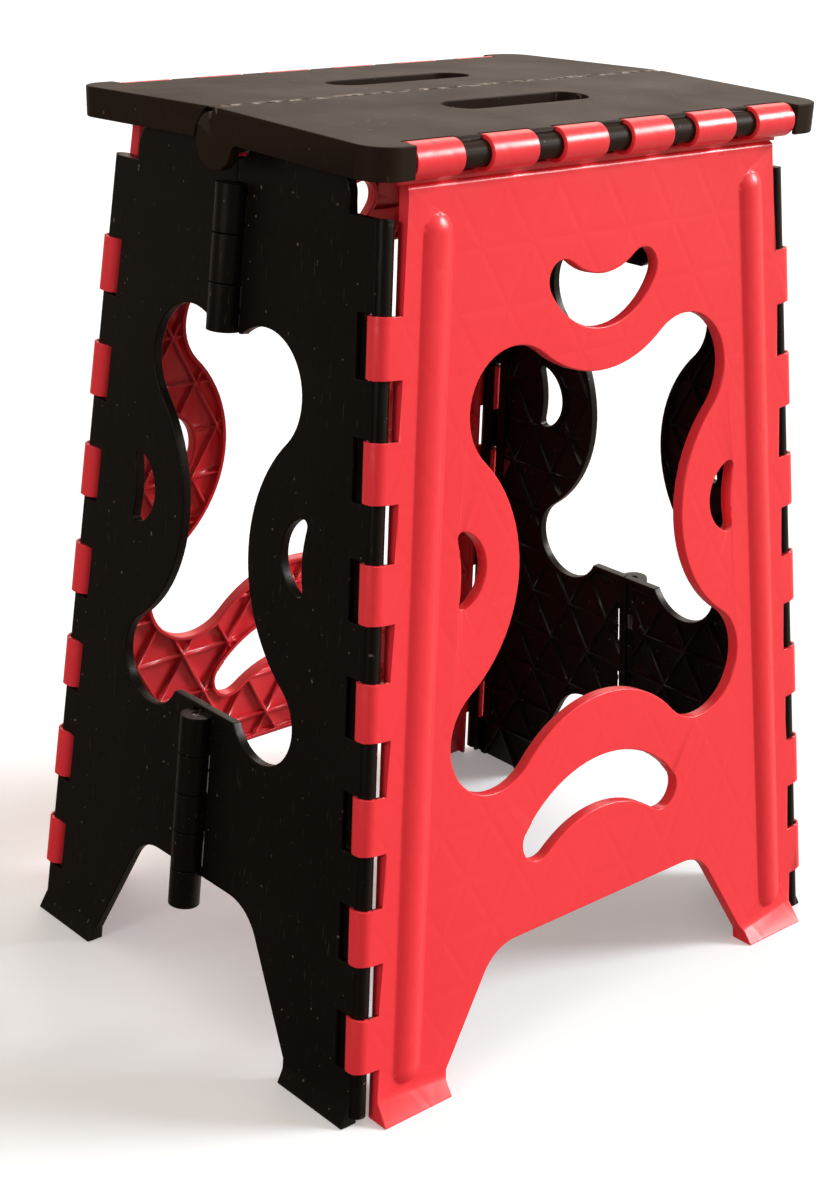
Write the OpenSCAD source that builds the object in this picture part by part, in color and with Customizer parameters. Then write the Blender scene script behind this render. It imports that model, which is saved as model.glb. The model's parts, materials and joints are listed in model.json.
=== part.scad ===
// Folding stool in moulded plastic: two leg panels, four side panels that
// fold inwards, and a seat in two halves. The lower and upper edges are
// snapped together by hooks that turn on bars, and the three centre folds
// turn on steel pins. Drawn open, as it stands. Z is up, the floor is z = 0,
// the front leg faces -Y. The stool looks the same after half a turn about Z.

/* [Stool] */
// Height of the seat top at its hinged edges
seat_h = 450; // [400:5:480]
// Half the width over the corner hooks, level with the seat
half_w = 130.6; // [122:0.2:138]
// Half the depth over the leg faces, level with the seat
half_d = 100.2; // [94:0.2:106]
// Outward run of the sides for each mm of drop
splay_x = 0.081; // [0.07:0.001:0.09]
// Outward run of the legs for each mm of drop
splay_y = 0.085; // [0.078:0.001:0.092]

/* [Leg panels] */
// Depth of a leg panel, face to rim
leg_t = 6.3; // [5.5:0.1:6.3]
// Thickness of the moulded skin
skin = 2.2; // [1.6:0.1:2.6]
// Thickness of the rims round the edges and openings
rim = 2.4; // [1.8:0.1:3]
// Drop from the seat top to the shoulder of a leg panel
leg_top = 18.5; // [18:0.5:22]
// Radius of the shoulder along a leg's top edge
leg_round = 2.5; // [1.5:0.1:2.8]
// Drop from the seat top to the top of the neck under the hooks
neck_top = 15.4; // [15.2:0.1:16]
// How far the neck stands back from the leg's face
neck_in = 2.2; // [1.6:0.1:2.6]
// Width of the half-round bead down each side of a leg
bead_w = 17; // [12:0.5:20]
// Height of the bead over the leg face
bead_h = 3.4; // [2:0.2:5]
// Distance from the corner hinge to the bead's middle
bead_in = 24.8; // [22:0.2:30]
// How far the toe flares out at the floor
leg_toe = 7; // [4:0.5:9]
// Height of the toe
toe_h = 9; // [6:0.5:14]
// Thickness of the grid ribs behind the faces
rib = 1.5; // [1:0.1:2]
// Distance between neighbouring ribs of the grid
rib_row = 26.85; // [20:0.05:40]
// Height over the floor of a row of the grid's nodes
rib_node = 104.3; // [90:0.1:120]
// How far the grid ribs stay below the rims
rib_low = 1.2; // [0:0.1:1.8]
// Height of the space between the feet
foot_gap = 62.5; // [50:0.5:70]
// Half the width of that space at its top corners
gap_top = 75.2; // [70:0.2:80]
// Half the width of that space near the floor
gap_low = 111; // [106:0.5:114]
// Radius of its top corners
gap_r = 24; // [12:0.5:30]

/* [Side panels] */
// Depth of a side panel, face to rim
side_t = 4.9; // [4:0.1:4.9]
// Thickness of the side panel's skin
side_skin = 2; // [1.6:0.1:2.4]
// Drop from the seat top to the top edge of a side panel
side_top = 15; // [14:0.5:18]
// Drop to the top of the corner bar and the ledge beside it
bar_top = 33; // [31:0.5:36]
// Radius of the shoulder over the ledge
shoulder = 11; // [6:0.5:13]
// Distance from the corner bar's axis to the shoulder
shoulder_y = 15.5; // [13:0.5:18]
// How far a side toe flares out
side_toe = 4.5; // [3:0.5:5]

/* [Openings] */
// Drop to the upper lobes of a leg's window
lobe_top = 124; // [116:0.5:130]
// Height of the lower lobes over the floor
lobe_low = 172; // [164:0.5:180]
// Distance of the upper lobes from the middle
lobe_top_x = 57; // [52:0.5:62]
// Distance of the lower lobes from the middle
lobe_low_x = 72.5; // [66:0.5:76]
// Radius of the lobes
lobe_r = 29; // [26:0.5:30]
// Radius of the bulges at a leg window's waist, top and bottom
bulge_r = 70; // [64:0.5:76]
// Radius of the outer arc of the crescent over the window
smile_r = 40; // [36:0.5:42]
// Radius of the outer arc of the crescent under the window
arch_r = 68.7; // [64:0.1:72]
// Height of the lower crescent's crown over the floor
arch_top = 141.5; // [136:0.5:144]
// Radius of the outer arc of the crescents beside a waist
moon_r = 19.5; // [17:0.5:20]
// Radius of a side window's upper lobe
side_lobe_r = 28.5; // [26:0.5:29]
// Radius of a side window's waist
side_waist_r = 76; // [72:0.5:80]

/* [Corner hinges] */
// Outer radius of the hooks that turn on the corner bars
hook_r = 6.3; // [6:0.1:6.6]
// Radius of the corner bars
bar_r = 4.2; // [3.8:0.1:4.4]
// Distance from the corner bar's axis to the side panel's face
side_set = 5; // [4.8:0.1:5.2]
// Distance from the corner bar's axis to the leg panel's edge
edge_set = 7; // [6.4:0.1:8]
// Hooks down each corner
hook_n = 7; // [5:1:7]
// Height of the lowest corner hook over the floor
hook_low = 24.9; // [22:0.1:32]
// Length of a corner hook
hook_len = 27.3; // [22:0.1:30]
// Drop from the seat top to the first hook
hook_drop = 73.2; // [68:0.2:78]
// How far a hook's window in the side panel reaches past the hook
window_in = 4.5; // [3:0.5:5]

/* [Centre hinges] */
// How far the side's fold axis lies outside the corner axis, at seat level
over = 7; // [6.6:0.1:7.6]
// Radius of the side knuckles
knuckle_r = 8; // [7:0.1:8.5]
// Radius of the side hinge pins
pin_r = 2.5; // [2:0.1:3]
// Drop to the top of the upper knuckles
upper_drop = 31; // [31:0.5:33]
// Length of one of the three upper knuckles
upper_len = 22.6; // [20:0.2:22.8]
// Height over the floor of the lower knuckles' lower end
knuckle_low = 59; // [52:0.5:64]
// How far the lowest knuckle hangs into the space between the feet
knuckle_hang = 16; // [10:0.5:18]
// Length of one of the five lower knuckles
lower_len = 20.6; // [18:0.2:20.8]

/* [Seat] */
// Width of the seat
seat_w = 290; // [284:1:296]
// Radius of the seat corners
seat_corner = 14; // [8:1:16]
// Thickness of the seat plate
plate = 2.6; // [2:0.1:3.2]
// Depth of the skirt under the seat's ends
skirt = 14.5; // [12:0.5:15]
// Rise of the seat's middle over its hinged edges
crown = 2.87; // [2:0.01:3.5]
// Distance of the seat's edge hinge from the middle
edge_y = 103.5; // [102.5:0.1:104.5]
// Outer radius of the seat hooks
seat_hook_r = 8; // [7.6:0.1:8.2]
// Radius of the seat's edge bars
seat_bar_r = 5.8; // [5.2:0.1:6]
// Hooks along each edge of the seat
seat_hook_n = 6; // [4:1:6]
// Spacing of the seat hooks
seat_pitch = 43.6; // [40:0.1:45]
// Width of a seat hook
seat_hook_w = 27.2; // [24:0.2:30]
// Depth of the seat's middle hinge below the seat top
fold_depth = 15; // [14.6:0.1:15.4]
// Radius of the round ears at the ends of the middle hinge
ear_r = 13; // [12:0.5:13.5]
// Radius of the fillet between an ear and the skirt
ear_fillet = 5; // [3:0.5:8]
// Step of the toothed seam between the seat halves
tooth = 1.2; // [0.6:0.1:1.6]
// Radius of the knuckles under the middle fold
seat_knuckle_r = 6.2; // [5.5:0.1:6.5]
// Length of a carrying slot
slot_l = 88; // [76:1:96]
// Width of a carrying slot
slot_w = 22; // [18:0.5:26]
// Distance of a carrying slot from the middle fold
slot_y = 42; // [38:0.5:46]

/* [Fits] */
// Running clearance of a hook on its bar and of a pin in its bore
run_fit = 0.06; // [0.02:0.01:0.1]
// Clearance of a pressed pin in its own knuckle
press_fit = 0.01; // [0.005:0.005:0.02]
// Bore clearance at the right-hand folds
open_fit = 0.25; // [0.2:0.05:0.4]
// Bore clearance in the back half of the seat
seat_open_fit = 1.1; // [1.05:0.05:1.3]
// Gap between neighbouring knuckles
knuckle_gap = 0.6; // [0.4:0.1:1]
// Gap of the seams at the three folds
seam = 0.3; // [0.2:0.1:0.6]
// Clearance of hooks and knuckles to the panel across the joint
free = 0.7; // [0.5:0.1:1]

/* [Hidden] */

red = [0.93, 0.16, 0.2];
black = [0.07, 0.065, 0.06];
steel = [0.7, 0.7, 0.72];

// Facets of rounds
$fn = 64;
// Length that reaches past the stool in any direction
far = 700;

// Tilt of the panels and lie of the corner axis in them
leg_tilt = atan(splay_y);
side_tilt = atan(splay_x);
corner_in_leg = atan(splay_x * cos(leg_tilt));
corner_in_side = atan(splay_y * cos(side_tilt));
// Corner axis at seat level, one hook radius in from both outer faces
corner_x = half_w - hook_r / cos(side_tilt);
corner_y = half_d - hook_r / cos(leg_tilt);
// The corner and fold axes of a side meet at one point above the stool
apex_drop = -corner_y / splay_y;
apex_x = corner_x + splay_x * apex_drop;
fold_x = corner_x + over;
fold_lean = atan((fold_x - apex_x) / -apex_drop);
// Seat frame at the edge hinge
edge_drop = seat_hook_r;
roof = atan(crown / edge_y);
fold_z = seat_h + crown - fold_depth;
hook_pitch = (seat_h - hook_low - hook_len - hook_drop) / (hook_n - 1);
lower_drop = seat_h - knuckle_low - 5 * lower_len;
// Drop past the floor, for cuts that leave through the feet
below = seat_h + 30;

function at(c) = [c[0], c[1]];
function flip(c) = [-c[0], c[1], c[2]];
// Circle [x, y, radius] of radius r that touches the lobes a and b, right of a to b
function bump(a, b, r) = let (
    d = at(b) - at(a),
    l = norm(d),
    ra = a[2] + r,
    rb = b[2] + r,
    h = (ra * ra - rb * rb + l * l) / (2 * l),
    p = sqrt(ra * ra - h * h),
    c = at(a) + d * h / l + [d[1], -d[0]] * p / l)
    [c[0], c[1], r];
module disc(c, w) {
    translate(at(c)) circle(c[2] + w);
}
// Opening with a wavy edge: lobes joined by bumps, each with w of wall round it
module waves(lobes, bumps, w) {
    n = len(lobes);
    difference() {
        union() {
            polygon([for (i = [0:n - 1]) each [at(lobes[i]), at(bumps[i])]]);
            for (c = lobes) disc(c, w + 0.02);
        }
        for (c = bumps) disc(c, -w);
    }
}
// Crescent between the circle o and the circle m, with round ends a and b
module crescent(o, a, b, m, w) {
    belly = (at(o) - at(m)) / norm(at(o) - at(m));
    difference() {
        union() {
            intersection() {
                disc(o, w);
                polygon([at(m), at(a), at(o) + 3 * (at(a) - at(o)), at(o) + 2 * o[2] * belly,
                         at(o) + 3 * (at(b) - at(o)), at(b)]);
            }
            disc(a, w + 0.02);
            disc(b, w + 0.02);
        }
        disc(m, -w);
    }
}
// Outline through corners [x, y, radius], all bulging, each rounded by its radius
module soft(pts) {
    n = len(pts);
    turns = [for (i = [0:n - 1]) let (
        p = at(pts[i]),
        u = (at(pts[(i + n - 1) % n]) - p) / norm(at(pts[(i + n - 1) % n]) - p),
        v = (at(pts[(i + 1) % n]) - p) / norm(at(pts[(i + 1) % n]) - p),
        half = acos(u * v) / 2,
        r = pts[i][2])
        [p + u * r / tan(half), p + v * r / tan(half), p + (u + v) / norm(u + v) * r / sin(half), r]];
    polygon([for (c = turns) each c[3] > 0 ? [c[0], c[1]] : [c[0]]]);
    for (c = turns) if (c[3] > 0) translate(c[2]) circle(c[3]);
}

// Openings of a leg panel, x from the middle and y up from the seat's level
leg_lobe_t = [lobe_top_x, -lobe_top, lobe_r];
leg_lobe_b = [lobe_low_x, lobe_low - seat_h, lobe_r];
leg_lobes = [leg_lobe_b, leg_lobe_t, flip(leg_lobe_t), flip(leg_lobe_b)];
leg_waist = bump(leg_lobe_b, leg_lobe_t, bulge_r);
leg_bumps = [leg_waist, bump(leg_lobe_t, flip(leg_lobe_t), bulge_r - 6), flip(leg_waist),
             bump(flip(leg_lobe_b), leg_lobe_b, bulge_r + 1)];
smile = [0, smile_r - 94, smile_r];
smile_end = [26.5, smile[1] - 15.3, 9.4];
smile_in = bump(smile_end, flip(smile_end), 33);
arch = [0, arch_top - seat_h - arch_r, arch_r];
arch_end = [44.7, arch[1] + 36.7, 10.8];
arch_in = bump(flip(arch_end), arch_end, 62);
// Crescents beside a waist, their bellies towards the middle
module moon(c, w) {
    tip = [moon_r - 3, 108];
    a = [c[0] + tip[0] * cos(tip[1]), c[1] + tip[0] * sin(tip[1]), 3];
    b = [a[0], 2 * c[1] - a[1], 3];
    crescent([c[0], c[1], moon_r], a, b, bump(b, a, 57), w);
}
leg_moon = [97, (leg_lobe_t[1] + leg_lobe_b[1]) / 2 + 8];
// Openings of a side panel, x out from the fold
side_sill = 2 - lower_drop;
side_lintel = -upper_drop - 3 * upper_len - 0.5;
side_lobe_t = [side_lobe_r, side_lintel - 21.7, side_lobe_r];
side_lobe_b = [45, side_sill + 10, 23];
side_waist = bump(side_lobe_b, side_lobe_t, side_waist_r);
side_moon = [69.8, (side_lobe_t[1] + side_lobe_b[1]) / 2 + 7.5];
side_foot = knuckle_low + knuckle_hang - seat_h;

// Frame of the front leg: x across, y inwards from the face, z up the face
module on_leg() {
    translate([0, -half_d, seat_h]) rotate([-leg_tilt, 0, 0]) children();
}
// Frame of the left front corner: z up the hinge axis
module on_corner() {
    translate([-corner_x, -corner_y, seat_h]) rotate([-leg_tilt, 0, 0]) rotate([0, corner_in_leg, 0])
        children();
}
// Frame of the left side: x inwards, y to the back, z up, on the corner axis
module on_side() {
    translate([-corner_x, -corner_y, seat_h]) rotate([0, side_tilt, 0]) children();
}
// Frame of the left side's fold: z up its axis, in the plane y = 0
module on_fold() {
    translate([-fold_x, 0, seat_h]) rotate([0, fold_lean, 0]) children();
}
// Frame of the front seat half: y to the middle, z up, on the edge hinge
module on_seat() {
    translate([0, -edge_y, seat_h - edge_drop]) rotate([roof, 0, 0]) children();
}
// Everything above the floor and in front of the seam
module front_half(gap) {
    intersection() {
        children();
        translate([-far, -far, 0]) cube([2 * far, far - gap / 2, far]);
    }
}
// Pockets left of a hollow by the ribs of one direction, the grid's node at n
module between_ribs(n, turn) {
    rows = ceil(0.72 * seat_h / rib_row);
    difference() {
        children();
        for (i = [-rows:rows]) translate(n) rotate(turn)
            translate([-seat_h, i * rib_row - rib / 2]) square([2 * seat_h, rib]);
    }
}
// Pockets left by a grid of ribs in three directions
module pockets(n) {
    between_ribs(n, 120) between_ribs(n, 60) between_ribs(n, 0) children();
}
// A leg outline, given in x and z, from the depth y0 to y1
module leg_slab(y0, y1) {
    translate([0, y1, 0]) rotate([90, 0, 0]) linear_extrude(y1 - y0) children();
}
// A side outline, given in y and z, from the depth x0 to x1
module side_slab(x0, x1) {
    translate([x0, 0, 0]) rotate([90, 0, 90]) linear_extrude(x1 - x0) children();
}
// Round rod up the z axis, from the drop a down to the drop b
module rod(r, a, b) {
    translate([0, 0, -b]) cylinder(h = b - a, r = r);
}

// Half width of a leg panel at a drop v down its face
function leg_edge(v) = corner_x - edge_set / cos(corner_in_leg) + v * tan(corner_in_leg);
module leg_outline(inset) {
    polygon([[-leg_edge(leg_top) + inset, -leg_top - inset], [leg_edge(leg_top) - inset, -leg_top - inset],
             [leg_edge(below) - inset, -below], [-leg_edge(below) + inset, -below]]);
}
// Space between the feet, w wider where its wall stands
module leg_gap(w) {
    y = foot_gap - seat_h + w;
    low = gap_low + w;
    soft([[-gap_top - w, y, gap_r + w], [-low, 5 - seat_h, 0], [-low - 2, -below, 0],
          [low + 2, -below, 0], [low, 5 - seat_h, 0], [gap_top + w, y, gap_r + w]]);
}
module leg_openings(w) {
    waves(leg_lobes, leg_bumps, w);
    crescent(smile, smile_end, flip(smile_end), smile_in, w);
    crescent(arch, arch_end, flip(arch_end), arch_in, w);
    moon(leg_moon, w);
    mirror([1, 0]) moon(leg_moon, w);
}
module leg_hollow() {
    difference() {
        leg_outline(rim);
        leg_openings(rim);
        leg_gap(rim);
    }
}
// Half-round bead on the face, beside the left edge
module leg_bead() {
    r = (bead_w * bead_w / 4 + bead_h * bead_h) / (2 * bead_h);
    a = 30 + bead_w / 2;
    b = seat_h - 12 - bead_w / 2;
    intersection() {
        on_corner() translate([bead_in, -hook_r + r - bead_h, 0]) {
            rod(r, a, b);
            translate([0, 0, -a]) sphere(r);
            translate([0, 0, -b]) sphere(r);
        }
        on_leg() translate([-far / 2, -bead_h - 1, -far]) cube([far, bead_h + 1.5, far]);
    }
}
// Hook round the left front corner bar
module corner_hook(i) {
    drop = hook_drop + i * hook_pitch;
    wall = hook_r - bar_r - run_fit;
    on_corner() difference() {
        union() {
            rod(hook_r, drop, drop + hook_len);
            translate([0, -hook_r, -drop - hook_len]) cube([edge_set + 1, wall, hook_len]);
        }
        rod(bar_r + run_fit, drop - 1, drop + hook_len + 1);
        // Mouth of the hook, open towards the inside
        translate([0, 0, -drop - hook_len - 1]) linear_extrude(hook_len + 2)
            polygon([[0, 0], [2 * hook_r * cos(75), 2 * hook_r * sin(75)], [2 * hook_r, 2 * hook_r],
                     [2 * hook_r, -hook_r + wall], [bar_r * cos(60), -bar_r * sin(60)]]);
    }
}
// Edge hinge of the seat in the leg's frame: [depth, height]
leg_pivot = let (y = half_d - edge_y, z = -edge_drop)
    [y * cos(leg_tilt) - z * sin(leg_tilt), y * sin(leg_tilt) + z * cos(leg_tilt)];
// Hook round the seat's front bar
module seat_hook(i) {
    x = (i - (seat_hook_n - 1) / 2) * seat_pitch - seat_hook_w / 2;
    stem = [neck_in - leg_pivot[0], -leg_top - leg_pivot[1]];
    on_leg() translate([x, leg_pivot[0], leg_pivot[1]]) rotate([90, 0, 90]) difference() {
        union() {
            cylinder(h = seat_hook_w, r = seat_hook_r);
            translate([stem[0], stem[1], 0]) cube([rim, -stem[1] - 3.5, seat_hook_w]);
        }
        translate([0, 0, -1]) cylinder(h = seat_hook_w + 2, r = seat_bar_r + run_fit);
        // Mouth of the hook, open towards the inside
        translate([0, 0, -1]) linear_extrude(seat_hook_w + 2)
            polygon([[0, 0], [3 * seat_hook_r * cos(-35), 3 * seat_hook_r * sin(-35)],
                     [3 * seat_hook_r, 0], [3 * seat_hook_r * cos(58), 3 * seat_hook_r * sin(58)]]);
    }
}
// Toe wedge across a foot, cut to the foot's outline
module leg_toes() {
    on_leg() intersection() {
        translate([-far / 2, 0, 0]) rotate([90, 0, 90]) linear_extrude(far)
            polygon([[skin, -seat_h + toe_h + 2], [0, -seat_h + toe_h], [-leg_toe, -seat_h - 2],
                     [skin, -seat_h - 2]]);
        leg_slab(-leg_toe - 1, skin) difference() {
            leg_outline(0);
            leg_gap(0);
        }
    }
}
module leg() {
    color(red) intersection() {
        union() {
            on_leg() difference() {
                leg_slab(0, leg_t) leg_outline(0);
                // Shoulder along the top edge
                translate([-far / 2, 0, -leg_top - leg_round]) difference() {
                    translate([0, -1, 0]) cube([far, leg_round + 1, leg_round + 1]);
                    translate([-1, leg_round, 0]) rotate([0, 90, 0]) cylinder(h = far + 2, r = leg_round);
                }
                // Hollow behind the face, its ribs lower than the rims
                leg_slab(leg_t - rib_low, leg_t + 1) leg_hollow();
                leg_slab(skin, leg_t - rib_low) pockets([0, rib_node - seat_h]) leg_hollow();
                leg_slab(-1, leg_t + 1) leg_openings(0);
                leg_slab(-1, leg_t + 1) leg_gap(0);
            }
            leg_toes();
            on_leg() leg_slab(neck_in, leg_t)
                polygon([[-leg_edge(neck_top), -neck_top], [leg_edge(neck_top), -neck_top],
                         [leg_edge(leg_top + 1), -leg_top - 1], [-leg_edge(leg_top + 1), -leg_top - 1]]);
            for (side = [0, 1]) mirror([side, 0, 0]) {
                leg_bead();
                for (i = [0:hook_n - 1]) corner_hook(i);
            }
            for (i = [0:seat_hook_n - 1]) seat_hook(i);
        }
        translate([-far, -far, 0]) cube(2 * far);
    }
}

// Drops to the starts of the knuckles
upper = [for (i = [0:2]) upper_drop + i * upper_len];
lower = [for (i = [0:4]) lower_drop + i * lower_len];
// Openings of a side half: x out from the fold
module side_openings(w) {
    translate([corner_y, 0]) mirror([1, 0]) {
        difference() {
            union() {
                polygon([[-20, side_lintel + w], [10, side_lintel + w], at(side_lobe_t), at(side_waist),
                         at(side_lobe_b), [26, side_sill - w], [-20, side_sill - w]]);
                disc(side_lobe_t, w + 0.02);
                disc(side_lobe_b, w + 0.02);
            }
            disc(side_waist, -w);
        }
        moon(side_moon, w);
        // Space beside the foot
        soft([[-20, side_foot + w, 0], [45 + w, side_foot + w, 25 + w], [83 + w, 5 - seat_h, 0],
              [84 + w, -below, 0], [-20, -below, 0]]);
    }
}
// Line parallel to the corner axis, at y from it, at a drop v
function beside(y, v) = [y / cos(corner_in_side) - v * tan(corner_in_side), -v];
module side_outline(inset) {
    far_y = corner_y + 20;
    x = shoulder_y + inset;
    soft([[far_y, -side_top - inset, 0], [x, -side_top - inset, shoulder - inset],
          [x, -2 * bar_top, 0], [far_y, -2 * bar_top, 0]]);
    polygon([[far_y, -bar_top - inset], beside(inset, bar_top + inset), beside(inset, below),
             [far_y, -below]]);
}
// Windows that the corner hooks pass through, narrower behind than in front
module hook_windows() {
    for (i = [0:hook_n - 1]) {
        a = hook_drop + i * hook_pitch - free;
        h = hook_len + 2 * free;
        translate([-hook_r - 2, -hook_r - 2, -a - h]) cube([2 * hook_r + 4, 2 * hook_r + 2 + free, h]);
        translate([-hook_r - 2, -hook_r - 2, -a - h]) cube([hook_r, 2 * hook_r + 2 + window_in, h]);
    }
}
module side_toe_wedge() {
    on_side() intersection() {
        translate([-side_set, 0, 0]) rotate([90, 0, 0]) translate([0, 0, -far / 2]) linear_extrude(far)
            polygon([[side_skin, -seat_h + toe_h + 2], [0, -seat_h + toe_h], [-side_toe, -seat_h - 2],
                     [side_skin, -seat_h - 2]]);
        side_slab(-side_set - side_toe - 1, 0) difference() {
            side_outline(0);
            side_openings(0);
        }
    }
}
// Outline of the hollow behind the face of a side half
module side_hollow() {
    difference() {
        side_outline(rim);
        side_openings(rim);
        translate([corner_y - rim, -far]) square(far);
    }
}
// Panel of one side half, without its knuckles
module side_panel() {
    difference() {
        union() {
            on_side() difference() {
                side_slab(-side_set, side_t - side_set) side_outline(0);
                side_slab(side_t - side_set - rib_low, side_t) side_hollow();
                side_slab(side_skin - side_set, side_t - side_set - rib_low)
                    pockets([corner_y, rib_node - seat_h]) side_hollow();
                side_slab(-side_set - 1, side_t) side_openings(0);
            }
            side_toe_wedge();
        }
        on_corner() hook_windows();
        // Dip in the top edge, under the seat's middle hinge
        translate([-half_w - 10, 0, fold_z]) rotate([0, 90, 0]) cylinder(h = 30, r = seat_knuckle_r + 2.5);
    }
    // Corner bar, with the hooks' windows left round it
    on_corner() rod(bar_r, bar_top, seat_h / cos(leg_tilt) / cos(corner_in_leg) - 4);
}
// One side half: own is the list of knuckles it carries, other those across
module side_half(own_u, own_l, bore) {
    other_u = [for (i = [0:2]) if (len(search(i, own_u)) == 0) i];
    other_l = [for (i = [0:4]) if (len(search(i, own_l)) == 0) i];
    g = knuckle_gap / 2;
    color(black) difference() {
        union() {
            difference() {
                front_half(seam) side_panel();
                on_fold() {
                    for (i = other_u) rod(knuckle_r + free, upper[i] - g, upper[i] + upper_len + g);
                    for (i = other_l) rod(knuckle_r + free, lower[i] - g, lower[i] + lower_len + g);
                }
            }
            on_fold() {
                for (i = own_u) rod(knuckle_r, upper[i] + g, upper[i] + upper_len - g);
                for (i = own_l) rod(knuckle_r, lower[i] + g, lower[i] + lower_len - g);
            }
        }
        on_fold() {
            rod(bore, upper_drop + 4, upper[2] + upper_len + 1);
            rod(bore, lower_drop - 1, lower[4] + lower_len - 4);
        }
    }
}
module side_pin(a, b) {
    color(steel) on_fold() rod(pin_r, a, b);
}

// Under the seat: stations of the middle hinge, even ones in the front half
station_n = 12;
ear_t = 5.5;
seat_l = seat_w - 2 * ear_t;
station = seat_l / station_n;
// Play round the middle hinge, for the closing error of the linkage
seat_room = seat_open_fit + 0.3;
// Distance from the seam to the webs over the knuckles
web_in = 2.2;
// Depth of the skirt below the edge hinge, and of the ribs' edges over the skirt's
seat_deep = skirt - seat_hook_r;
seat_rib_low = 5;
// Outline of one seat half in its own frame
module seat_outline(inset) {
    w = seat_w / 2 - inset;
    r = max(seat_corner - inset, 1);
    soft([[-w, edge_y + 30, 0], [-w, inset - edge_drop, r], [w, inset - edge_drop, r], [w, edge_y + 30, 0]]);
}
module seat_slot(w) {
    r = slot_w / 2 + w;
    translate([0, edge_y - slot_y]) for (s = [-1, 1]) translate([s * (slot_l / 2 - slot_w / 2), 0]) circle(r);
    translate([-slot_l / 2 + slot_w / 2, edge_y - slot_y - r]) square([slot_l - slot_w, 2 * r]);
}
// Ribs under the plate: across at every other station, and two along
module seat_ribs() {
    for (i = [1:2:station_n - 1]) translate([-seat_l / 2 + i * station - rib / 2, 0]) square([rib, edge_y]);
    for (y = [slot_y - slot_w / 2 - 14, slot_y + slot_w / 2 + 17])
        translate([-seat_w / 2, edge_y - y - rib / 2]) square([seat_w, rib]);
}
// Shell of one seat half: plate, skirt, ribs and the slot's collar
module seat_shell(block_x) {
    difference() {
        translate([0, 0, -seat_deep]) linear_extrude(skirt) seat_outline(0);
        difference() {
            union() {
                translate([0, 0, -seat_deep - 1]) linear_extrude(seat_rib_low + 1.01) seat_outline(rim);
                translate([0, 0, seat_rib_low - seat_deep]) linear_extrude(skirt - seat_rib_low - plate)
                    difference() {
                        seat_outline(rim);
                        seat_ribs();
                    }
            }
            translate([0, 0, 2 - seat_deep]) linear_extrude(skirt) seat_slot(rim);
            translate([-far, edge_y - rim, fold_depth - 2 * seat_hook_r - 2]) cube([2 * far, 2 * rim, far]);
        }
        // Room for the leg's hooks between the corner blocks
        translate([-block_x, -edge_drop - 1, -seat_deep - 1]) cube([2 * block_x, edge_drop + 1, skirt + 2]);
        translate([0, 0, -seat_deep - 1]) linear_extrude(skirt + 2) seat_slot(0);
    }
}
// Round ear at an end of the middle hinge, with the fillet that joins it to the skirt
module seat_ear() {
    fy = sqrt(ear_r * (ear_r + 2 * ear_fillet));
    translate([-seat_w / 2, 0, 0]) rotate([90, 0, 90]) linear_extrude(ear_t) {
        circle(ear_r);
        difference() {
            polygon([[0, 0], [0, 1.5], [-fy, 1.5], [-fy, -ear_fillet]]);
            translate([-fy, -ear_fillet]) circle(ear_fillet);
        }
    }
}
module seat_half(bore) {
    g = knuckle_gap / 2;
    block_x = (seat_hook_n - 1) / 2 * seat_pitch + seat_hook_w / 2 + free;
    reach = tooth - seam / 2;
    color(black) difference() {
        union() {
            difference() {
                on_seat() seat_shell(block_x);
                // All behind the seam, but for the teeth
                difference() {
                    translate([-far, -seam / 2, 0]) cube([2 * far, far, 2 * seat_h]);
                    for (i = [0:2:station_n - 1])
                        translate([-seat_l / 2 + i * station + g, -rim, fold_z + fold_depth - plate])
                            cube([station - 2 * g, rim + reach, 2 * plate]);
                }
                // Room for the other half's ear and knuckles
                translate([0, 0, fold_z]) rotate([0, 90, 0]) {
                    translate([0, 0, seat_w / 2 - ear_t - g]) cylinder(h = ear_t + 2, r = ear_r + seat_room);
                    for (i = [1:2:station_n - 1]) translate([0, 0, -seat_l / 2 + i * station - g])
                        cylinder(h = station + 2 * g, r = seat_knuckle_r + seat_room);
                }
                // Notch over the other half's ear
                translate([seat_w / 2 - ear_t - g, 0, fold_z]) rotate([90, 0, 90]) linear_extrude(ear_t + 2)
                    polygon([[0.5, ear_r - 5], [0.5, fold_depth + 2], [-4.4, fold_depth + 2]]);
                // Room for the other half's teeth
                translate([-seat_l / 2 - g, -reach - seam, fold_z + fold_depth - plate - 0.6])
                    for (i = [1:2:station_n - 1]) translate([i * station, 0, 0])
                        cube([station + 2 * g, reach + 2 * seam, plate + 2]);
                // Room for the hooks to turn round the edge bar
                on_seat() for (i = [0:seat_hook_n - 1])
                    translate([(i - (seat_hook_n - 1) / 2) * seat_pitch - seat_hook_w / 2 - free, 0, 0])
                        rotate([0, 90, 0]) cylinder(h = seat_hook_w + 2 * free, r = seat_hook_r + 0.4);
            }
            // Edge bar, bare between the hooks
            on_seat() translate([-block_x - 4, 0, 0]) rotate([0, 90, 0])
                cylinder(h = 2 * block_x + 8, r = seat_bar_r);
            // Knuckles and their webs
            translate([0, 0, fold_z]) {
                for (i = [0:2:station_n - 1]) translate([-seat_l / 2 + i * station + g, 0, 0]) {
                    rotate([0, 90, 0]) cylinder(h = station - 2 * g, r = seat_knuckle_r);
                    translate([0, -seat_knuckle_r, 0])
                        cube([station - 2 * g, seat_knuckle_r - web_in, fold_depth - plate - 0.5]);
                }
                seat_ear();
            }
        }
        translate([-seat_w / 2 + 2.5, 0, fold_z]) rotate([0, 90, 0]) cylinder(h = seat_w - 5, r = bore);
    }
}
module seat_rod() {
    color(steel) translate([-seat_w / 2 + 3, 0, fold_z]) rotate([0, 90, 0])
        cylinder(h = seat_w - 6, r = pin_r);
}
// Half a turn about the middle carries a front piece to the back
module turned() {
    rotate([0, 0, 180]) children();
}

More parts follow.
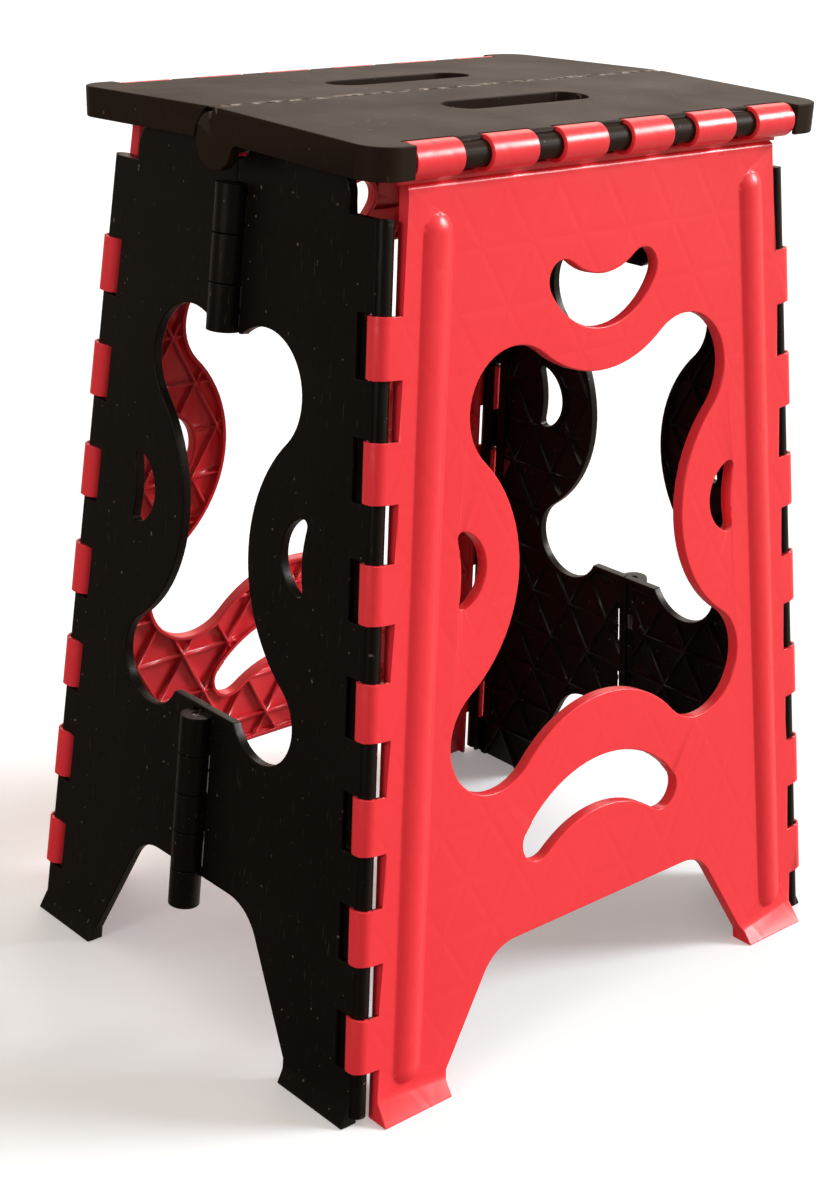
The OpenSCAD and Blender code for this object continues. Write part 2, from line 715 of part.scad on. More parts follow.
snug = pin_r + press_fit;
loose = pin_r + run_fit;
slack = pin_r + open_fit;
leg();  // leg_front
turned() leg();  // leg_back
seat_half(snug);  // seat_front
turned() seat_half(pin_r + seat_open_fit);  // seat_back
side_half([1], [0, 2, 4], snug);  // side_left_front
mirror([0, 1, 0]) side_half([0, 2], [1, 3], loose);  // side_left_back
mirror([1, 0, 0]) side_half([0, 2], [1, 3], slack);  // side_right_front
turned() side_half([1], [0, 2, 4], snug);  // side_right_back
seat_rod();  // seat_pin
side_pin(upper_drop + 4.5, upper[2] + upper_len - 1);  // pin_left_upper
side_pin(lower_drop + 1, lower[4] + lower_len - 4.5);  // pin_left_lower
turned() side_pin(upper_drop + 4.5, upper[2] + upper_len - 1);  // pin_right_upper
turned() side_pin(lower_drop + 1, lower[4] + lower_len - 4.5);  // pin_right_lower
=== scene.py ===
# %% [markdown]
# # A folding stool in moulded plastic
# The stool is two glossy red legs and a set of black side panels and seat halves, hooked
# together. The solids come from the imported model, which is the frame: nothing here moves or
# resizes it. This script gives each moulding its rounded edges, its finish and its light, and
# sets the camera.

# %% Load the frame
import json
import math

import bmesh
import bpy
from mathutils import Matrix, Vector

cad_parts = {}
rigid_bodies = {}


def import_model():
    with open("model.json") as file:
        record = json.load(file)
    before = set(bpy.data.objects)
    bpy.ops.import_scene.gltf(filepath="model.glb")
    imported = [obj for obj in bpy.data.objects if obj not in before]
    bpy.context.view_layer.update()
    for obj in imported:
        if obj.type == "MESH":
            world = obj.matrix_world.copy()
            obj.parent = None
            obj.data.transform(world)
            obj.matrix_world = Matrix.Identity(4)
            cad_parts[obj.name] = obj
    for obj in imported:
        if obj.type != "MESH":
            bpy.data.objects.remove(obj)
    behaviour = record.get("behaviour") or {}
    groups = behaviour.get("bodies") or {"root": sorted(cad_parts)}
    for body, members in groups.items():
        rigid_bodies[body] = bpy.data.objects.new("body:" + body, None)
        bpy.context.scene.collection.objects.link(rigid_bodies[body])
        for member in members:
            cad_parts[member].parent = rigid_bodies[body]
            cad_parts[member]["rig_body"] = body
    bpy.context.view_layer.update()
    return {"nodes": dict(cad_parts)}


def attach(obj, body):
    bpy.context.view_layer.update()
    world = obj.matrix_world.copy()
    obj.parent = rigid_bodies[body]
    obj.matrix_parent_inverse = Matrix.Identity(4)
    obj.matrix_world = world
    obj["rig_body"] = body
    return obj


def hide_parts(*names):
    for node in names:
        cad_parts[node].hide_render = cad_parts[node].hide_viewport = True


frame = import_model()
MM = 0.001
SEAT_HEIGHT = 450 * MM

# %% [markdown]
# ## The camera
# The photograph looks down on the stool's left front corner from close by, so its sides run
# together. A camera could be placed by eye, but its place was solved from the panels' splay
# instead, so that most edges fall on the photograph's own. The values are a place, three angles
# and a lens.

# %% Set the camera
CAMERA_PLACE = Vector((-0.6847, -0.7392, 0.5804))
CAMERA_YAW, CAMERA_PITCH, CAMERA_ROLL = map(math.radians, (-42.32, -21.42, 2.02))
FOCAL_PIXELS = 2032.5
IMAGE_HEIGHT = 1200
SENSOR = 36.0
FARTHEST = 60


def camera_axes(yaw, pitch, roll):
    """Right, up and back vectors of a camera that looks along +Y before it is turned."""
    level = math.cos(pitch)
    ahead = Vector((-math.sin(yaw) * level, math.cos(yaw) * level, math.sin(pitch)))
    right = Vector((math.cos(yaw), math.sin(yaw), 0))
    up = right.cross(ahead)
    turned_right = math.cos(roll) * right + math.sin(roll) * up
    turned_up = math.cos(roll) * up - math.sin(roll) * right
    return turned_right, turned_up, -ahead


camera = bpy.data.objects.new("camera", bpy.data.cameras.new("camera"))
bpy.context.scene.collection.objects.link(camera)
camera.data.sensor_width = SENSOR
camera.data.lens = FOCAL_PIXELS / IMAGE_HEIGHT * SENSOR
camera.data.clip_end = FARTHEST
camera.matrix_world = Matrix.Translation(CAMERA_PLACE) @ Matrix(
    camera_axes(CAMERA_YAW, CAMERA_PITCH, CAMERA_ROLL)).transposed().to_4x4()
bpy.context.scene.camera = camera
bpy.context.scene.view_settings.view_transform = "Standard"
print("Lens", round(camera.data.lens, 2), "mm")

# %% [markdown]
# ## Helpers for finishes
# Every finish is a node tree, so a few short helpers keep them readable. `Finish` starts a tree
# with one shader and the piece's own coordinates, in metres. Its methods add one node each, join
# its inputs and return its output.

# %% A small kit for node trees
class Finish:
    """A material with one Principled shader, built up node by node."""

    def __init__(self, name):
        self.material = bpy.data.materials.new(name)
        self.material.use_nodes = True
        self.tree = self.material.node_tree
        self.shader = self.tree.nodes["Principled BSDF"]
        self.place = self.tree.nodes.new("ShaderNodeTexCoord").outputs["Object"]

    def node(self, kind, inputs, **settings):
        """A new node with its settings, whose inputs are joined to outputs or given values."""
        made = self.tree.nodes.new("ShaderNode" + kind)
        for key, value in settings.items():
            setattr(made, key, value)
        for key, value in inputs.items():
            if isinstance(value, bpy.types.NodeSocket):
                self.tree.links.new(value, made.inputs[key])
            else:
                made.inputs[key].default_value = value
        return made

    def join(self, output, socket):
        self.tree.links.new(output, self.shader.inputs[socket])

    def math(self, operation, a, b=0.0, c=0.0):
        return self.node("Math", {0: a, 1: b, 2: c}, operation=operation).outputs[0]

    def noise(self, scale, detail=2.0, place=None):
        inputs = {"Vector": place or self.place, "Scale": scale, "Detail": detail}
        return self.node("TexNoise", inputs).outputs["Fac"]

    def ramp(self, value, low, high, start=0.0, end=1.0):
        """Turn low into start and high into end, evenly between, and hold both ends."""
        inputs = {"Value": value, "From Min": low, "From Max": high, "To Min": start, "To Max": end}
        return self.node("MapRange", inputs).outputs["Result"]

    def mapped(self, turn=(0, 0, 0), scale=(1, 1, 1)):
        inputs = {"Vector": self.place, "Rotation": turn, "Scale": scale}
        return self.node("Mapping", inputs).outputs[0]

    def blend(self, share, a, b):
        """Colour a where the share is 0 and colour b where it is 1."""
        made = self.node("Mix", {"Factor": share}, data_type="RGBA")
        for socket, value in ((made.inputs[6], a), (made.inputs[7], b)):
            if isinstance(value, bpy.types.NodeSocket):
                self.tree.links.new(value, socket)
            else:
                socket.default_value = (*value, 1.0)
        return made.outputs[2]

    def bump(self, height, strength, distance):
        inputs = {"Height": height, "Strength": strength, "Distance": distance}
        return self.node("Bump", inputs).outputs[0]


def linear(red, green, blue):
    """A colour written as 0 to 255 on the screen, in the renderer's linear scale."""
    def one(value):
        share = value / 255
        return share / 12.92 if share <= 0.04045 else ((share + 0.055) / 1.055) ** 2.4
    return one(red), one(green), one(blue)


print("Mid grey, 128 on the screen, is", round(linear(128, 128, 128)[0], 3), "in linear light")

# %% [markdown]
# ## Red plastic
# The legs are smooth moulded plastic with a soft gloss. The colour clouds a little, fine
# scratches break the gloss, and the ribs behind the face pull it in slightly, as sink marks. The
# marks follow the ribs' triangle grid. They could be carved into the mesh, but they are a hair
# deep, so a bump from three families of lines makes them, which costs no geometry.

# %% Mix the red plastic
RIB_ROW = 26.85 * MM
RIB_NODE_Z = SEAT_HEIGHT - 344.5 * MM
RIB_TURNS = (0, 60, 120)
RIB_BLUR = 0.11
RED_PALE, RED_DEEP = linear(250, 59, 69), linear(240, 50, 62)
RED_GLOSS, RED_MIRROR = (0.27, 0.36), 0.45
CLOUD_MIDDLE = (0.3, 0.7)
SCRATCH_LENGTHWISE = 3
SCRATCH_FLATNESS = 0.08
SCRATCH_EDGE = 0.06


def sink_marks(finish, across, up):
    """How near a point is to the rib grid behind the face, 1 on a rib and 0 between."""
    near = None
    for turn in RIB_TURNS:
        u = finish.math("MULTIPLY", across, math.sin(math.radians(turn)) / RIB_ROW)
        v = finish.math("MULTIPLY_ADD", up, math.cos(math.radians(turn)) / RIB_ROW, 0.5)
        share = finish.math("FRACT", finish.math("ADD", u, v))
        off = finish.math("ABSOLUTE", finish.math("SUBTRACT", share, 0.5))
        line = finish.ramp(off, 0.0, RIB_BLUR, 1.0, 0.0)
        near = line if near is None else finish.math("MAXIMUM", near, line)
    return near


def scratches(finish, turn, fineness, share):
    """Fine lines that all run one way: noise stretched along one axis, thinned by a ramp."""
    scale = (SCRATCH_LENGTHWISE, fineness, fineness * SCRATCH_FLATNESS)
    lines = finish.noise(1.0, 3.0, finish.mapped(turn, scale))
    return finish.ramp(lines, 1 - share, 1 - share + SCRATCH_EDGE)


def patchy_gloss(finish, patches, smoothest, dullest):
    """Roughness that drifts between two values, in so many patches to the metre."""
    return finish.ramp(finish.noise(patches, 3.0), *CLOUD_MIDDLE, smoothest, dullest)


def red_plastic():
    finish = Finish("red_plastic")
    axes = finish.node("SeparateXYZ", {"Vector": finish.place})
    clouds = finish.noise(6.0)
    finish.join(finish.blend(clouds, RED_PALE, RED_DEEP), "Base Color")
    up = finish.math("SUBTRACT", axes.outputs["Z"], RIB_NODE_Z)
    sink = finish.math("MULTIPLY", sink_marks(finish, axes.outputs["X"], up), -1.0)
    waves = finish.bump(sink, 0.10, 0.6 * MM)
    peel = finish.bump(finish.noise(420.0), 0.05, 0.4 * MM)
    finish.tree.links.new(waves, peel.node.inputs["Normal"])
    finish.join(peel, "Normal")
    rubbed = scratches(finish, (0.0, 0.6, 0.3), 900.0, 0.34)
    gloss = patchy_gloss(finish, 22.0, *RED_GLOSS)
    finish.join(finish.math("MULTIPLY_ADD", rubbed, 0.14, gloss), "Roughness")
    finish.shader.inputs["Specular IOR Level"].default_value = RED_MIRROR
    return finish.material


RED = red_plastic()
print("Red plastic has", len(RED.node_tree.nodes), "nodes")

# %% [markdown]
# ## Black plastic
# The black mouldings are nearly matt, with a brown cast, slanting hairline scratches and pale
# specks of dust. One material could serve them all, but in the photograph the seat is browner and
# duller than the sides, and whitish along its seam, where its halves rub. So one function mixes
# two materials. The seat's colour is paler and browner than the sides'. That is painted sheen, for
# the warm reflection on its top. Its dullness is its own, and its scuffs are placed by height and
# by distance from the seam.

# %% Mix the black plastic
SEAM_TOP = SEAT_HEIGHT - 3 * MM
SCUFF_RISE = 2 * MM
SCUFF_FULL, SCUFF_END = 0.8 * MM, 3.6 * MM
DUST = linear(190, 178, 165)
DUST_SHARE, SCRATCH_SHARE, SCUFF_SHARE = 0.2, 0.05, 0.75
GLOSS_SPREAD = 0.12


def seam_scuffs(finish):
    """Whitish rubbed patches on the top edges beside the seam."""
    axes = finish.node("SeparateXYZ", {"Vector": finish.place})
    away = finish.math("ABSOLUTE", axes.outputs["Y"])
    beside = finish.ramp(away, SCUFF_FULL, SCUFF_END, 1.0, 0.0)
    above = finish.ramp(axes.outputs["Z"], SEAM_TOP, SEAM_TOP + SCUFF_RISE)
    patchy = finish.ramp(finish.noise(170.0, 4.0), 0.47, 0.62)
    return finish.math("MULTIPLY", finish.math("MULTIPLY", beside, above), patchy)


def black_plastic(name, dark, pale, smoothest, mirror, scuffed):
    """Black plastic between two shades. Least roughness and mirror level set how dull it is."""
    finish = Finish(name)
    colour = finish.blend(finish.noise(9.0, 3.0), dark, pale)
    fine = scratches(finish, (0.7, 0.0, 0.2), 1100.0, 0.33)
    dust = finish.ramp(finish.noise(420.0, 0.0), 0.83, 0.87)
    marks = finish.math("MAXIMUM", finish.math("MULTIPLY", fine, SCRATCH_SHARE),
                        finish.math("MULTIPLY", dust, DUST_SHARE))
    if scuffed:
        scuffs = finish.math("MULTIPLY", seam_scuffs(finish), SCUFF_SHARE)
        marks = finish.math("MAXIMUM", marks, scuffs)
    finish.join(finish.blend(marks, colour, DUST), "Base Color")
    finish.join(finish.bump(finish.noise(380.0), 0.06, 0.4 * MM), "Normal")
    gloss = patchy_gloss(finish, 18.0, smoothest, smoothest + GLOSS_SPREAD)
    finish.join(finish.math("MULTIPLY_ADD", fine, 0.16, gloss), "Roughness")
    finish.shader.inputs["Specular IOR Level"].default_value = mirror
    return finish.material


BLACK = black_plastic("black_plastic", linear(12, 9, 6), linear(18, 14, 9), 0.30, 0.2, False)
# The seat's paler, browner colour is painted sheen, standing for the warm reflection on its top.
SEAT_BLACK_PAINTED_SHEEN = black_plastic("seat_plastic_painted_sheen", linear(35, 25, 19), linear(42, 31, 23), 0.42, 0.09, True)
print("Black plastic has", len(BLACK.node_tree.nodes), "nodes, and the seat's has",
      len(SEAT_BLACK_PAINTED_SHEEN.node_tree.nodes))

# %% [markdown]
# ## Drawn steel
# The folds turn on plain steel rods, of which little shows. One even grey could do, but drawing
# leaves lines along a rod, so its colour, gloss and bump come from noise that is stretched along
# X. That is the seat rod's own way, and the side rods share it, since they hardly show.

# %% Mix the steel
STEEL_DARK, STEEL_PALE = linear(150, 150, 154), linear(196, 196, 200)
STEEL_GLOSS = (0.22, 0.42)
DRAWN_SCALE = (30, 2600, 2600)


def drawn_steel():
    finish = Finish("drawn_steel")
    lines = finish.noise(1.0, 2.0, finish.mapped(scale=DRAWN_SCALE))
    finish.join(finish.blend(lines, STEEL_DARK, STEEL_PALE), "Base Color")
    finish.join(finish.ramp(lines, *CLOUD_MIDDLE, *STEEL_GLOSS), "Roughness")
    finish.join(finish.bump(lines, 0.05, 0.2 * MM), "Normal")
    finish.shader.inputs["Metallic"].default_value = 1.0
    return finish.material


STEEL = drawn_steel()
print("Steel has", len(STEEL.node_tree.nodes), "nodes")

# %% [markdown]
# ## Rounded edges
# No edge of a moulding is sharp: the steel tool is radiused, and light runs along every rim. A
# bevel of one width would do on a plain block, but here it overshoots wherever ribs meet at a
# sharp point or a step is narrow. So each edge gets its own share of the width, as a bevel
# weight: all of it where there is room, and less beside a narrow face or in a tight corner.

# %% Find each edge's room
SHARP_TURN = math.radians(38)
ROOM_SHARE = 0.42
LEAST_SHARE = 0.3
WIDEST_ROOM = 1.0
STRAIGHT = 3.1
TINY = 1e-9


def corner_room(edge, face, sharp):
    """The widest bevel that the corners at an edge's ends leave it within one face."""
    room = WIDEST_ROOM
    for vertex in edge.verts:
        for other in vertex.link_edges:
            if other is edge or other not in sharp or face not in other.link_faces:
                continue
            along = edge.other_vert(vertex).co - vertex.co
            beside = other.other_vert(vertex).co - vertex.co
            turn = along.angle(beside, math.pi)
            shorter = min(along.length, beside.length)
            room = min(room, ROOM_SHARE * shorter * math.tan(min(turn, STRAIGHT) / 2))
    return room


def face_room(face):
    """The widest bevel that a face leaves to both of its long edges, taken as a strip."""
    width = 2 * face.calc_area() / max(face.calc_perimeter(), TINY)
    return ROOM_SHARE * width


def weigh_edges(form, radius, pocket):
    """Give every sharp edge its share of the bevel's width, and count them. Depth is taken below
    the moulding's largest face, and what lies between the two depths in pocket stays crisp."""
    skin = max(form.faces, key=lambda face: face.calc_area())
    start = skin.verts[0].co.dot(skin.normal)

    def in_pocket(vertex):
        return pocket[0] < start - vertex.co.dot(skin.normal) < pocket[1]

    weight = form.edges.layers.float.new("bevel_weight_edge")
    sharp = {edge for edge in form.edges
             if len(edge.link_faces) == 2 and edge.calc_face_angle() > SHARP_TURN
             and not all(in_pocket(vertex) for vertex in edge.verts)}
    for edge in sharp:
        room = min(min(corner_room(edge, face, sharp), face_room(face)) for face in edge.link_faces)
        share = min(1.0, room / radius)
        edge[weight] = share if share > LEAST_SHARE else 0.0
    return len(sharp)


print("An edge turns sharply past", round(math.degrees(SHARP_TURN)), "degrees")

# %% [markdown]
# ## Mending flat faces
# A bevel eats into the faces beside an edge. On a flat face whose triangles reach from rim to rim
# it turns some thin ones over, and they show as dark wedges. The flats could be filled anew, but
# Blender's fill closed the legs' windows too. So the edge between an upturned triangle and its
# neighbour is swapped for the other diagonal, which sets most of them upright and moves no
# corner.

# %% Swap the diagonals of upturned triangles
FLAT_TURN = math.radians(0.6)
IN_PLANE = 0.999
NOTHING = 1e-12


def flat_regions(form):
    """Groups of faces that touch and lie in one plane, whichever way they point."""
    taken = set()
    for first in form.faces:
        if first in taken:
            continue
        taken.add(first)
        group = [first]
        for face in group:
            for edge in face.edges:
                for other in edge.link_faces:
                    turn = face.normal.angle(other.normal, 0.0)
                    if other not in taken and min(turn, math.pi - turn) < FLAT_TURN:
                        taken.add(other)
                        group.append(other)
        yield group


def least_area(outwards, *triangles):
    """The least area of some triangles, given by their corners. Upturned ones are below zero."""
    return min((b.co - a.co).cross(c.co - a.co).dot(outwards) for a, b, c in triangles)


def swap_diagonals(form):
    """Swap diagonals in the flat regions while it makes upturned triangles fewer."""
    swapped = 0
    for group in list(flat_regions(form)):
        outwards = sum((face.normal * face.calc_area() for face in group), Vector()).normalized()
        todo = [edge for face in group if face.normal.dot(outwards) < 0 for edge in face.edges]
        while todo:
            edge = todo.pop()
            if not edge.is_valid or len(edge.link_loops) != 2:
                continue
            if min(abs(face.normal.dot(outwards)) for face in edge.link_faces) < IN_PLANE:
                continue
            here, there = edge.link_loops
            a, b = here.vert, here.link_loop_next.vert
            c, d = here.link_loop_prev.vert, there.link_loop_prev.vert
            now = least_area(outwards, (a, b, c), (b, a, d))
            if now < 0 and least_area(outwards, (a, d, c), (d, b, c)) > now + NOTHING:
                new = bmesh.utils.edge_rotate(edge, True)
                if new:
                    swapped += 1
                    for face in new.link_faces:
                        face.normal_update()
                        todo.extend(other for other in face.edges if other is not new)
    return swapped


print("Faces within", round(math.degrees(FLAT_TURN), 1), "degrees are one flat face")

# %% [markdown]
# ## Dressing a moulding
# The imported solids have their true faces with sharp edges, so a copy of each is dressed and
# stands for its node. The copy's triangles are merged, a bevel modifier rounds its edges by their
# weights and is applied, and the flat faces are mended. The place and size stay the solid's own.
# Where one moulding is another turned half round, the dressed copy of that one is turned, so that
# both are dressed alike. Its mesh is built anew, because a plain copy shares its lists of faces
# with the first, and an exporter that mends the first would then spoil the second.

# %% Dress a copy of a solid
MERGE_WITHIN = 2e-6
JOIN_FACES_WITHIN = math.radians(0.5)
BEVEL_SEGMENTS = 2
NORMAL_WEIGHT = 80


def stand_for(node, shell):
    """Let a dressed shell shade evenly, move with a node's body and take the node's place."""
    shell.modifiers.new("normals", "WEIGHTED_NORMAL").weight = NORMAL_WEIGHT
    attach(shell, frame["nodes"][node]["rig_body"])
    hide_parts(node)


def dressed(node, name, material, radius, pocket):
    """A copy of a node's solid with rounded edges and a finish. It takes the node's place."""
    shell = bpy.data.objects.new(name, frame["nodes"][node].data.copy())
    bpy.context.scene.collection.objects.link(shell)
    shell.data.materials.clear()
    shell.data.materials.append(material)
    form = bmesh.new()
    form.from_mesh(shell.data)
    bmesh.ops.remove_doubles(form, verts=form.verts, dist=MERGE_WITHIN)
    bmesh.ops.dissolve_limit(form, angle_limit=JOIN_FACES_WITHIN, verts=form.verts,
                             edges=form.edges, use_dissolve_boundaries=False)
    for face in form.faces:
        face.smooth = True
        face.material_index = 0
    rounded = weigh_edges(form, radius, pocket)
    bmesh.ops.triangulate(form, faces=form.faces, quad_method="BEAUTY", ngon_method="BEAUTY")
    form.to_mesh(shell.data)
    form.clear()
    edge = shell.modifiers.new("edges", "BEVEL")
    edge.width = radius
    edge.segments = BEVEL_SEGMENTS
    edge.limit_method = "WEIGHT"
    edge.use_clamp_overlap = False
    edge.loop_slide = False
    form.from_object(shell, bpy.context.evaluated_depsgraph_get())
    shell.modifiers.remove(edge)
    swapped = swap_diagonals(form)
    form.to_mesh(shell.data)
    form.free()
    stand_for(node, shell)
    print(name, "has", rounded, "rounded edges and", swapped, "swapped diagonals")
    return shell


def half_turn(node, name, shell):
    """A copy of a dressed shell, turned half round about the stool's upright middle line."""
    form = bmesh.new()
    form.from_mesh(shell.data)
    bmesh.ops.transform(form, matrix=Matrix.Rotation(math.pi, 4, "Z"), verts=form.verts)
    mesh = bpy.data.meshes.new(name)
    form.to_mesh(mesh)
    form.free()
    mesh.materials.append(shell.data.materials[0])
    twin = bpy.data.objects.new(name, mesh)
    bpy.context.scene.collection.objects.link(twin)
    stand_for(node, twin)
    print(name, "is", shell.name, "turned half round")


print("A copy of each solid can now be dressed")

# %% [markdown]
# ## The mouldings
# Each of the eight mouldings is dressed in turn: red for the legs, black for the rest. The two
# legs come from one mould, so the back leg is dressed as the front leg turned half round.

# %% Dress the legs, sides and seat
LEG_POCKET = (2.1 * MM, 5.2 * MM)
SEAT_POCKET = (2.5 * MM, 9.6 * MM)
SIDE_POCKET = (1.9 * MM, 3.8 * MM)
ROUND, SIDE_ROUND = 0.7 * MM, 0.5 * MM
front_leg = dressed("leg_front", "front_leg", RED, ROUND, LEG_POCKET)
half_turn("leg_back", "back_leg", front_leg)
for side in ("front", "back"):
    dressed("seat_" + side, side + "_seat", SEAT_BLACK_PAINTED_SHEEN, ROUND, SEAT_POCKET)
    for hand in ("left", "right"):
        dressed(f"side_{hand}_{side}", f"{hand}_{side}_side", BLACK,
                SIDE_ROUND, SIDE_POCKET)

# %% [markdown]
# ## The rods
# The five steel rods of the folds are plain and round, and little of them shows. They could be
# dressed like the mouldings, but the model's own nodes look right, so only their material
# changes.

# %% Give the rods their steel
RODS = ("seat_pin", "pin_left_upper", "pin_left_lower", "pin_right_upper", "pin_right_lower")
for node in RODS:
    rod = frame["nodes"][node]
    rod.data.materials.clear()
    rod.data.materials.append(STEEL)
print("Steel on", len(RODS), "rods")

# %% [markdown]
# ## Window backs
# The side panels have windows for the corner hooks. In the photograph the hooks lie against
# black, so the windows are taken to be blind pockets, but in the solids they open into the
# panel's hollow. A thin strip behind each row of windows closes them. It could be seven small
# plates, but one strip looks the same and is simpler. It lies beside the corner axis, clear of
# the hooks' swing.

# %% Close the windows from behind
HALF_WIDTH, HALF_DEPTH, HOOK_RADIUS = 130.6 * MM, 100.2 * MM, 6.3 * MM
SIDE_SPLAY, LEG_SPLAY = 0.081, 0.085
SIDE_TILT, LEG_TILT = math.atan(SIDE_SPLAY), math.atan(LEG_SPLAY)
CORNER_IN_SIDE = math.atan(LEG_SPLAY * math.cos(SIDE_TILT))
CORNER = Vector((HOOK_RADIUS / math.cos(SIDE_TILT) - HALF_WIDTH,
                 HOOK_RADIUS / math.cos(LEG_TILT) - HALF_DEPTH, SEAT_HEIGHT))
STRIP_DEPTHS = (-1.95 * MM, -0.15 * MM)
STRIP_SIDES = (7.1 * MM, 13.2 * MM)
STRIP_DROPS = (72 * MM, 426 * MM)
STRIP_ROUND = 0.3 * MM


def beside_corner(away, drop):
    """A corner of the strip, some way from the corner axis and some way down."""
    across = away / math.cos(CORNER_IN_SIDE) - drop * math.tan(CORNER_IN_SIDE)
    return STRIP_DEPTHS[0], across, -drop


def window_backs(hand, end):
    """One strip in the left front side's frame, set there and mirrored to its own side."""
    form = bmesh.new()
    near, wide = STRIP_SIDES
    top, foot = STRIP_DROPS
    spots = (near, top), (wide, top), (wide, foot), (near, foot)
    sheet = form.faces.new([form.verts.new(beside_corner(*spot)) for spot in spots])
    grown = bmesh.ops.extrude_face_region(form, geom=[sheet])["geom"]
    moved = [part for part in grown if isinstance(part, bmesh.types.BMVert)]
    bmesh.ops.translate(form, verts=moved, vec=(STRIP_DEPTHS[1] - STRIP_DEPTHS[0], 0, 0))
    bmesh.ops.bevel(form, geom=form.edges[:], affect="EDGES", offset=STRIP_ROUND,
                    segments=BEVEL_SEGMENTS, profile=0.5, material=-1)
    turned = Matrix.Translation(CORNER) @ Matrix.Rotation(SIDE_TILT, 4, "Y")
    own_side = Matrix.Diagonal((1 if hand == "left" else -1, 1 if end == "front" else -1, 1, 1))
    bmesh.ops.transform(form, matrix=own_side @ turned, verts=form.verts)
    bmesh.ops.recalc_face_normals(form, faces=form.faces)
    mesh = bpy.data.meshes.new(f"{hand}_{end}_window_backs")
    form.to_mesh(mesh)
    form.free()
    mesh.materials.append(BLACK)
    strip = bpy.data.objects.new(mesh.name, mesh)
    bpy.context.scene.collection.objects.link(strip)
    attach(strip, f"side_{hand}_{end}")
    print(strip.name, "is", round((STRIP_DROPS[1] - STRIP_DROPS[0]) * 1000), "mm long")


for hand in ("left", "right"):
    for end in ("front", "back"):
        window_backs(hand, end)

# %% [markdown]
# ## The floor
# The stool stands on a plain pale floor that keeps its shadow. A floor that is pale to every ray
# throws much light up into the stool, and the photograph is dark there. So it is pale for the
# camera alone, through Light Path, darker for the light that bounces, and hidden from gloss. It
# is slightly blue, because the room's light is warm, and the two give a nearly neutral white.

# %% Lay the floor
FLOOR_HALF = 20.0
FLOOR_SEEN, FLOOR_BOUNCE = (0.80, 0.87, 0.93), (0.3, 0.3, 0.3)
FLOOR_GLOW, FLOOR_ROUGHNESS = 0.22, 0.9
ground = bmesh.new()
bmesh.ops.create_grid(ground, x_segments=4, y_segments=4, size=FLOOR_HALF)
floor_mesh = bpy.data.meshes.new("floor")
ground.to_mesh(floor_mesh)
ground.free()
floor = bpy.data.objects.new("floor", floor_mesh)
bpy.context.scene.collection.objects.link(floor)
floor_finish = Finish("pale_floor")
seen = floor_finish.node("LightPath", {}).outputs["Is Camera Ray"]
floor_finish.join(floor_finish.blend(seen, FLOOR_BOUNCE, FLOOR_SEEN), "Base Color")
floor_finish.shader.inputs["Roughness"].default_value = FLOOR_ROUGHNESS
floor_finish.shader.inputs["Specular IOR Level"].default_value = 0.0
floor_finish.shader.inputs["Emission Color"].default_value = (1, 1, 1, 1)
floor_finish.join(floor_finish.math("MULTIPLY", seen, FLOOR_GLOW), "Emission Strength")
floor.data.materials.append(floor_finish.material)
floor.visible_glossy = False
print("The floor reaches", FLOOR_HALF, "m each way")

# %% [markdown]
# ## The lamps
# One broad sun grazes the front leg from its right, as in the photograph. It lights one flank of
# each long rib, shades the other, and leaves the black side dark. Area lamps could do it too, but
# a sun lights both ends of the stool alike. A weak lamp behind on the right shines on the hooks'
# tops, and one on the left brings out the edges of the corner hooks.

# %% Set the lamps
def lamp(name, source, energy, spread, colour=(1, 1, 1)):
    """A far lamp that shines from a direction, with soft shadows as wide as its spread."""
    made = bpy.data.objects.new(name, bpy.data.lights.new(name, "SUN"))
    bpy.context.scene.collection.objects.link(made)
    made.data.energy = energy
    made.data.angle = math.radians(spread)
    made.data.color = colour
    made.matrix_world = Vector(source).to_track_quat("Z", "Y").to_matrix().to_4x4()
    print(name, "shines from", source, "at", energy)


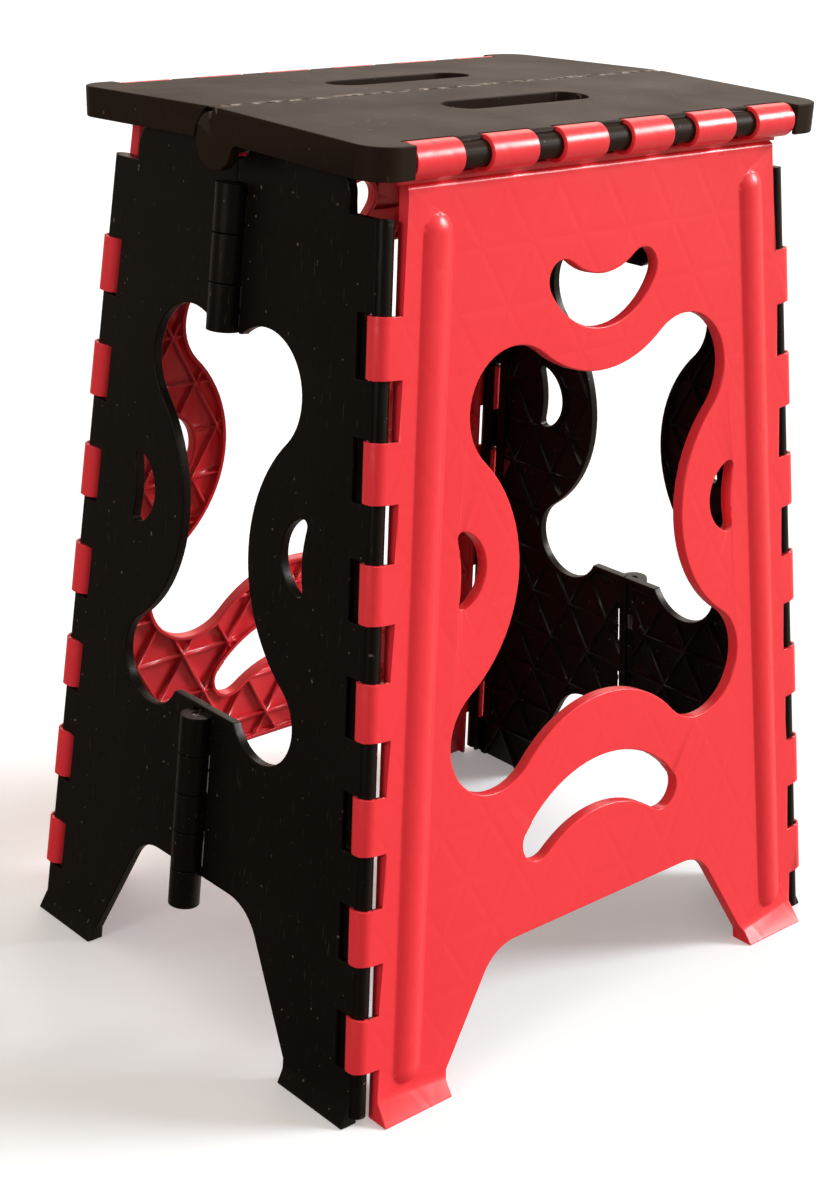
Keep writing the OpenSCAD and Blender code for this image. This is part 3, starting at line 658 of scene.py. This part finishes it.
lamp("front_lamp", (0.78, -0.52, 0.45), 3.1, 20)
lamp("window_lamp", (0.62, 0.52, 0.55), 0.4, 30, (1.0, 0.93, 0.86))
lamp("left_lamp", (-0.95, -0.1, 0.3), 0.9, 20, (1.0, 0.9, 0.85))

# %% [markdown]
# ## The room's light
# The photograph's light comes from the right and above, and the left is dark, which is what keeps
# the black side black. An even white world would grey it. So the world grows from dark to bright
# along one direction, in a slightly warm light, and only the camera sees it all white.

# %% Light the world from one side
BRIGHT_SIDE = Vector((0.75, 0.1, 0.65)).normalized()
DARKEST, BRIGHTEST = 0.05, 0.9
DARK_UNTIL, BRIGHT_FROM = -0.8, 0.9
WARM, WHITE = (1.0, 0.82, 0.68, 1), (1, 1, 1, 1)
world = bpy.data.worlds.new("world")
bpy.context.scene.world = world
world.use_nodes = True
sky = world.node_tree
look = sky.nodes.new("ShaderNodeTexCoord")
towards = sky.nodes.new("ShaderNodeVectorMath")
towards.operation = "DOT_PRODUCT"
towards.inputs[1].default_value = BRIGHT_SIDE
sky.links.new(look.outputs["Generated"], towards.inputs[0])
level = sky.nodes.new("ShaderNodeMapRange")
level.interpolation_type = "SMOOTHSTEP"
for socket, value in (("From Min", DARK_UNTIL), ("From Max", BRIGHT_FROM),
                      ("To Min", DARKEST), ("To Max", BRIGHTEST)):
    level.inputs[socket].default_value = value
sky.links.new(towards.outputs["Value"], level.inputs["Value"])
path = sky.nodes.new("ShaderNodeLightPath")
strength = sky.nodes.new("ShaderNodeMix")
sky.links.new(path.outputs["Is Camera Ray"], strength.inputs[0])
sky.links.new(level.outputs["Result"], strength.inputs[2])
strength.inputs[3].default_value = 1.0
background = sky.nodes["Background"]
tint = sky.nodes.new("ShaderNodeMix")
tint.data_type = "RGBA"
sky.links.new(path.outputs["Is Camera Ray"], tint.inputs[0])
tint.inputs[6].default_value = WARM
tint.inputs[7].default_value = WHITE
sky.links.new(tint.outputs[2], background.inputs["Color"])
sky.links.new(strength.outputs[0], background.inputs["Strength"])
print("The world is brightest towards", [round(v, 2) for v in BRIGHT_SIDE])
